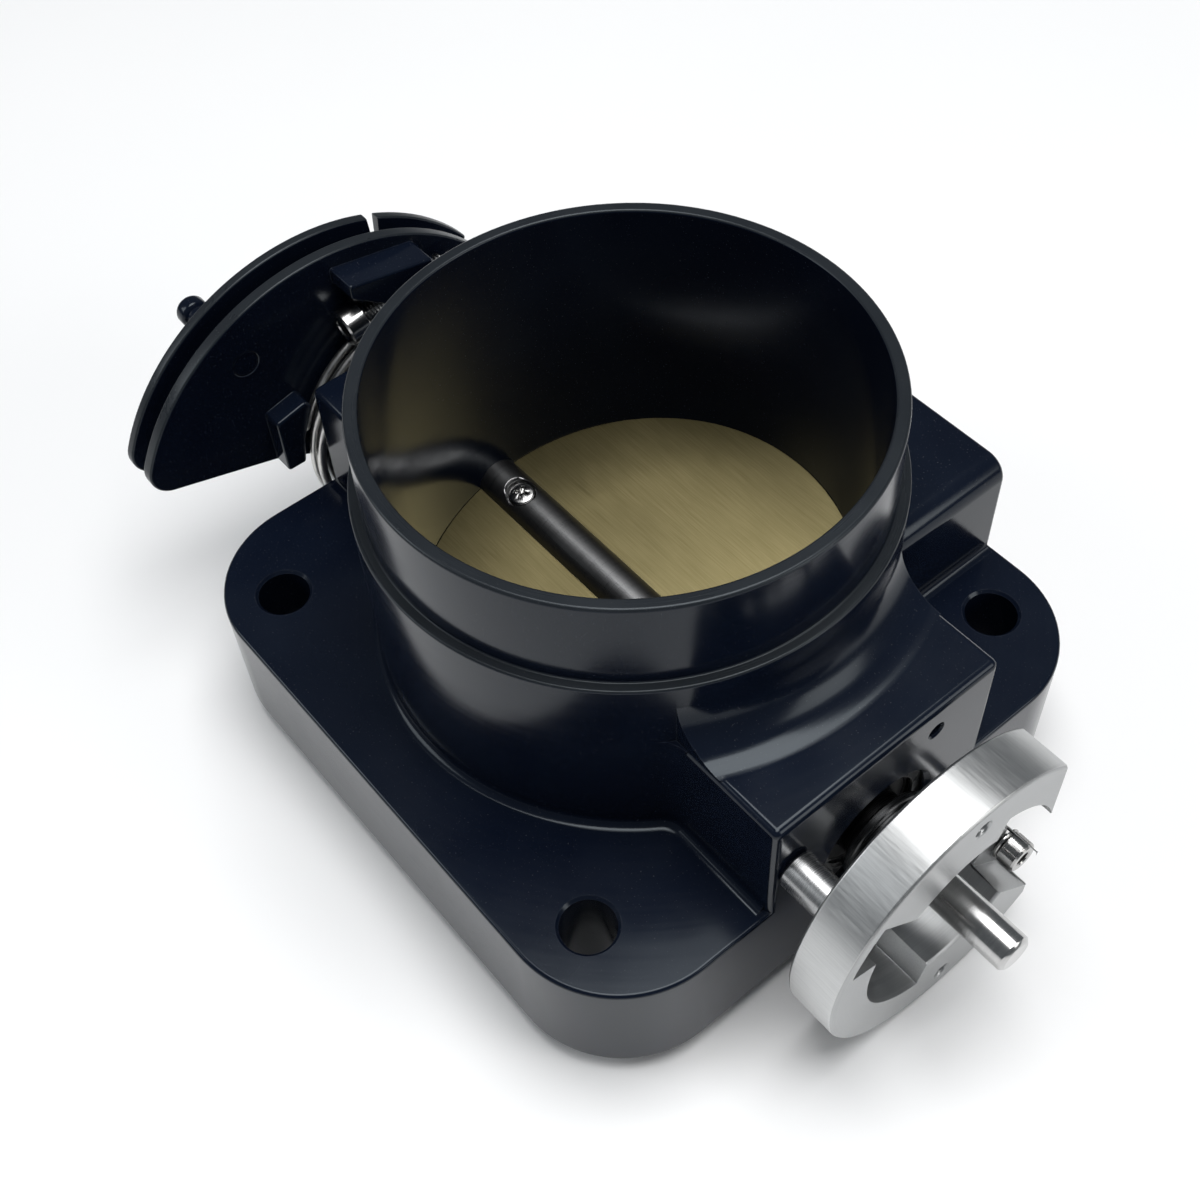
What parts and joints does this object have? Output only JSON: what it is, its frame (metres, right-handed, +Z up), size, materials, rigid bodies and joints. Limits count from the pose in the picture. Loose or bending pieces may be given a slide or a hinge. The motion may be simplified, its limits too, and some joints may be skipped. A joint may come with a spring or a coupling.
{
  "type": "throttle body",
  "caption": "Cable-operated throttle body: square flange, round hose neck, bronze-coloured butterfly, sprung cable wheel and a bright sensor mounting ring.",
  "frame": {"origin": "on the bore axis, level with the lowest point of the sensor ring, 5 mm below the flange's underside", "axes": "+Z up the bore towards the hose neck, +X along the throttle shaft towards the sensor end, +Y towards the rear block"},
  "size_m": [0.2116, 0.135, 0.0977],
  "materials": {
    "black_anodised": "satin black anodised",
    "plate_bronze": "brushed",
    "bright_aluminium": "fine turned",
    "shaft_steel": "satin ground",
    "bright_steel": "polished",
    "spring_wire": "drawn wire",
    "black_rubber": "matte"
  },
  "bodies": {
    "housing": {"throttle_housing": "black_anodised", "flange_o_ring": "black_rubber", "sensor_side_bearing_outer_race": "bright_steel", "sensor_side_bearing_balls": "bright_steel", "sensor_side_shaft_seal": "black_rubber", "sensor_side_circlip": "bright_steel", "cable_side_bearing_outer_race": "bright_steel", "cable_side_bearing_balls": "bright_steel", "cable_side_shaft_seal": "black_rubber", "cable_side_circlip": "bright_steel", "standoff_upper": "bright_aluminium", "standoff_lower": "bright_aluminium", "ring_washer_upper": "bright_steel", "ring_washer_lower": "bright_steel", "ring_screw_upper": "bright_steel", "ring_screw_lower": "bright_steel", "wide_open_stop_pin": "bright_steel", "return_spring": "spring_wire"},
    "throttle": {"throttle_shaft": "shaft_steel", "butterfly_plate": "plate_bronze", "plate_screw_cable_side": "bright_steel", "plate_screw_sensor_side": "bright_steel", "sensor_side_collar": "bright_aluminium", "sensor_side_bearing_inner_race": "bright_steel", "cable_side_bearing_inner_race": "bright_steel", "cable_wheel": "black_anodised", "wheel_washer": "bright_steel", "wheel_nut": "bright_steel", "cable_stud": "black_anodised", "spring_drum": "black_anodised"},
    "sensor_ring": {"sensor_ring": "bright_aluminium"},
    "stop_screw": {"stop_screw": "bright_steel"}
  },
  "joints": [
    {"name": "throttle_open", "type": "hinge", "parent": "housing", "child": "throttle", "pos_m": [0, 0, 0.0332], "axis": [1, 0, 0], "range_deg": [0, 80], "stiffness_Nm_per_rad": 0.3, "springref_deg": -57.3, "deforming": ["return_spring"]},
    {"name": "sensor_ring_clocking", "type": "hinge", "parent": "housing", "child": "sensor_ring", "pos_m": [0.0871, 0, 0.0332], "axis": [1, 0, 0], "range_deg": [-3.5, 3.5]},
    {"name": "stop_screw_adjust", "type": "slide", "parent": "throttle", "child": "stop_screw", "axis": [0, -0.9903, -0.1392], "range_m": [0, 0.002]}
  ]
}
